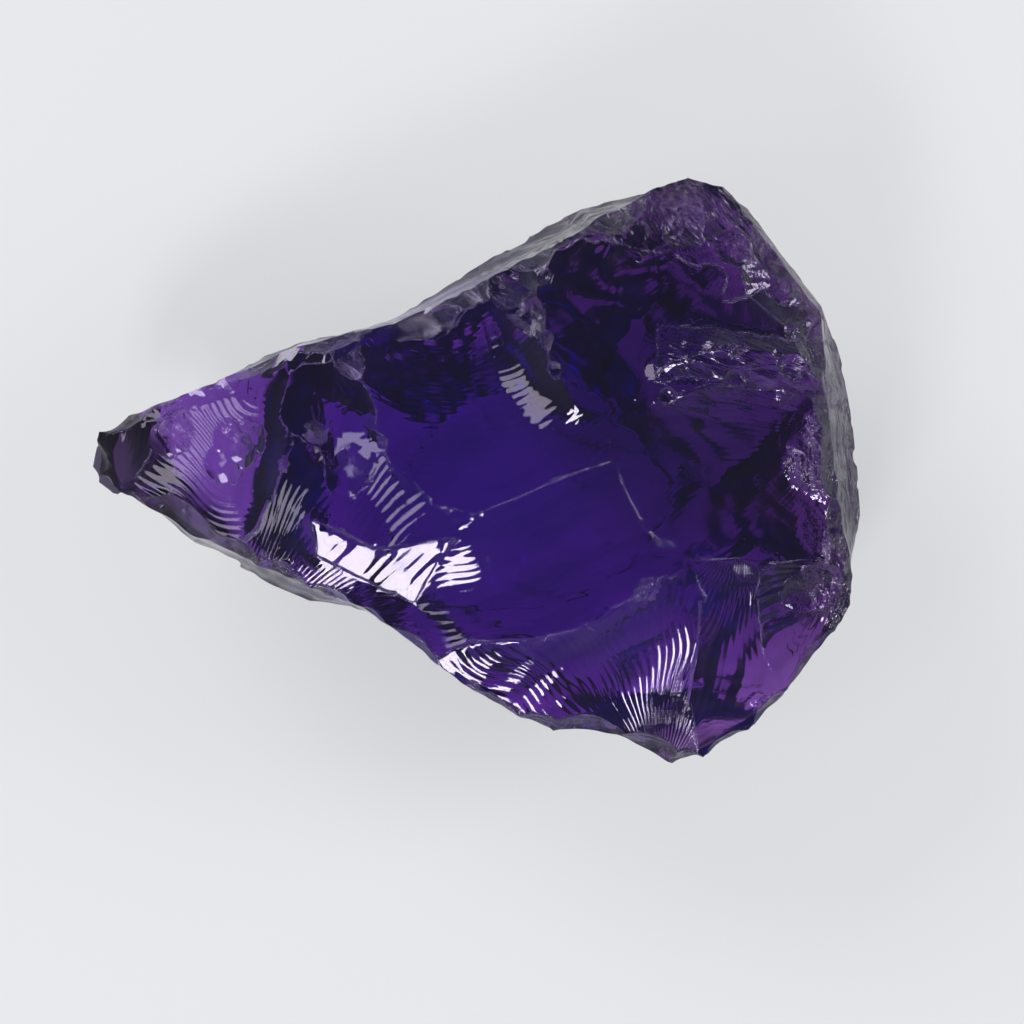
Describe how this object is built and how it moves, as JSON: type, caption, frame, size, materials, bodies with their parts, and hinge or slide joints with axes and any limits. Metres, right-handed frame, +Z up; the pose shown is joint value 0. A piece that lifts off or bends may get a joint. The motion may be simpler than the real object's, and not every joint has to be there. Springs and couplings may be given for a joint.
{
  "type": "rough amethyst",
  "caption": "Broken lump of clear violet quartz with conchoidal fracture faces, a thin tip and a thick end, lying on its flat base.",
  "frame": {"origin": "middle of the lump's box in plan, on the surface that it lies on", "axes": "+X from the thin tip to the thick end, +Y across it, +Z up from the resting face through the side seen in the picture"},
  "size_m": [0.0368, 0.0278, 0.0152],
  "materials": {
    "amethyst": "glassy conchoidal fracture, clear violet, with frosted and rippled patches"
  },
  "bodies": {
    "root": {"amethyst": "amethyst"}
  },
  "joints": []
}
